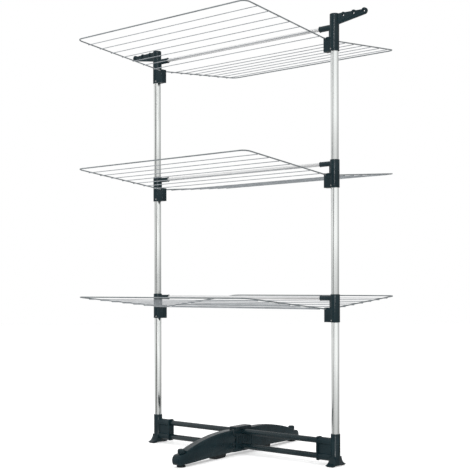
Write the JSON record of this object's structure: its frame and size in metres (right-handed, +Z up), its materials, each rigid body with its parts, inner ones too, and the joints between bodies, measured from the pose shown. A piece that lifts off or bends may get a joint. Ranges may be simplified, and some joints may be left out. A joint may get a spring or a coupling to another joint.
{
  "type": "clothes drying rack",
  "caption": "Free-standing tower drying rack with fold-up wire wings on each side at every level, hanger arms on top and a cross base with swing-out legs.",
  "frame": {"origin": "on the floor, midway between the two posts", "axes": "+Z up; X along the line of the posts; Y across it, front is -Y"},
  "size_m": [1.22, 0.9786, 1.7],
  "materials": {
    "aluminium": "bright satin",
    "crossbar_metal": "satin",
    "black_bar": "satin",
    "black_plastic": "satin moulded",
    "frame_wire": "coated wire",
    "long_wire": "coated wire",
    "rubber": "matt",
    "steel": "plated"
  },
  "bodies": {
    "frame": {"post_low_left": "aluminium", "post_mid_left": "aluminium", "post_top_left": "aluminium", "bracket_low_left": "black_plastic", "bracket_mid_left": "black_plastic", "top_cap_left": "black_plastic", "foot_bracket_left": "black_plastic", "foot_pads_left": "rubber", "post_low_right": "aluminium", "post_mid_right": "aluminium", "post_top_right": "aluminium", "bracket_low_right": "black_plastic", "bracket_mid_right": "black_plastic", "top_cap_right": "black_plastic", "foot_bracket_right": "black_plastic", "foot_pads_right": "rubber", "bracket_screws": "steel", "crossbar_low": "crossbar_metal", "crossbar_mid": "crossbar_metal", "crossbar_top": "crossbar_metal", "base_bar_lower": "black_bar", "base_bar_upper": "black_bar", "hub_cap": "black_plastic", "hub_clamp_screws": "steel", "hub_front": "black_plastic", "hub_rear": "black_plastic", "front_leg_pin": "steel", "rear_leg_pin": "steel"},
    "wing_low_front": {"wing_frame_low_front": "frame_wire", "wing_wires_low_front": "long_wire"},
    "wing_low_rear": {"wing_frame_low_rear": "frame_wire", "wing_wires_low_rear": "long_wire"},
    "wing_mid_front": {"wing_frame_mid_front": "frame_wire", "wing_wires_mid_front": "long_wire"},
    "wing_mid_rear": {"wing_frame_mid_rear": "frame_wire", "wing_wires_mid_rear": "long_wire"},
    "wing_top_front": {"wing_frame_top_front": "frame_wire", "wing_wires_top_front": "long_wire"},
    "wing_top_rear": {"wing_frame_top_rear": "frame_wire", "wing_wires_top_rear": "long_wire"},
    "front_leg": {"front_leg": "black_plastic", "front_belly_pad": "rubber"},
    "front_levelling_foot": {"front_level_knob": "black_plastic", "front_level_stud": "steel", "front_level_disc": "rubber"},
    "rear_leg": {"rear_leg": "black_plastic", "rear_belly_pad": "rubber"},
    "rear_levelling_foot": {"rear_level_knob": "black_plastic", "rear_level_stud": "steel", "rear_level_disc": "rubber"}
  },
  "joints": [
    {"name": "wing_low_front_fold", "type": "hinge", "parent": "frame", "child": "wing_low_front", "pos_m": [0, -0.008, 0.589], "axis": [-1, 0, 0], "range_deg": [0, 75]},
    {"name": "wing_low_rear_fold", "type": "hinge", "parent": "frame", "child": "wing_low_rear", "pos_m": [0, 0.008, 0.589], "axis": [1, 0, 0], "range_deg": [0, 75]},
    {"name": "wing_mid_front_fold", "type": "hinge", "parent": "frame", "child": "wing_mid_front", "pos_m": [0, -0.008, 1.096], "axis": [-1, 0, 0], "range_deg": [0, 75]},
    {"name": "wing_mid_rear_fold", "type": "hinge", "parent": "frame", "child": "wing_mid_rear", "pos_m": [0, 0.008, 1.096], "axis": [1, 0, 0], "range_deg": [0, 75]},
    {"name": "wing_top_front_fold", "type": "hinge", "parent": "frame", "child": "wing_top_front", "pos_m": [0, -0.008, 1.609], "axis": [-1, 0, 0], "range_deg": [0, 75]},
    {"name": "wing_top_rear_fold", "type": "hinge", "parent": "frame", "child": "wing_top_rear", "pos_m": [0, 0.008, 1.609], "axis": [1, 0, 0], "range_deg": [0, 75]},
    {"name": "front_leg_swing", "type": "hinge", "parent": "frame", "child": "front_leg", "pos_m": [0.0095, -0.056, 0.0575], "axis": [0, 0, 1], "range_deg": [-5, 85]},
    {"name": "front_levelling_foot_turn", "type": "hinge", "parent": "front_leg", "child": "front_levelling_foot", "pos_m": [0.02854, -0.38258, 0.03], "axis": [0, 0, 1], "continuous": true},
    {"name": "rear_leg_swing", "type": "hinge", "parent": "frame", "child": "rear_leg", "pos_m": [-0.0095, 0.056, 0.0575], "axis": [0, 0, 1], "range_deg": [-5, 85]},
    {"name": "rear_levelling_foot_turn", "type": "hinge", "parent": "rear_leg", "child": "rear_levelling_foot", "pos_m": [-0.02854, 0.38258, 0.03], "axis": [0, 0, 1], "continuous": true}
  ]
}
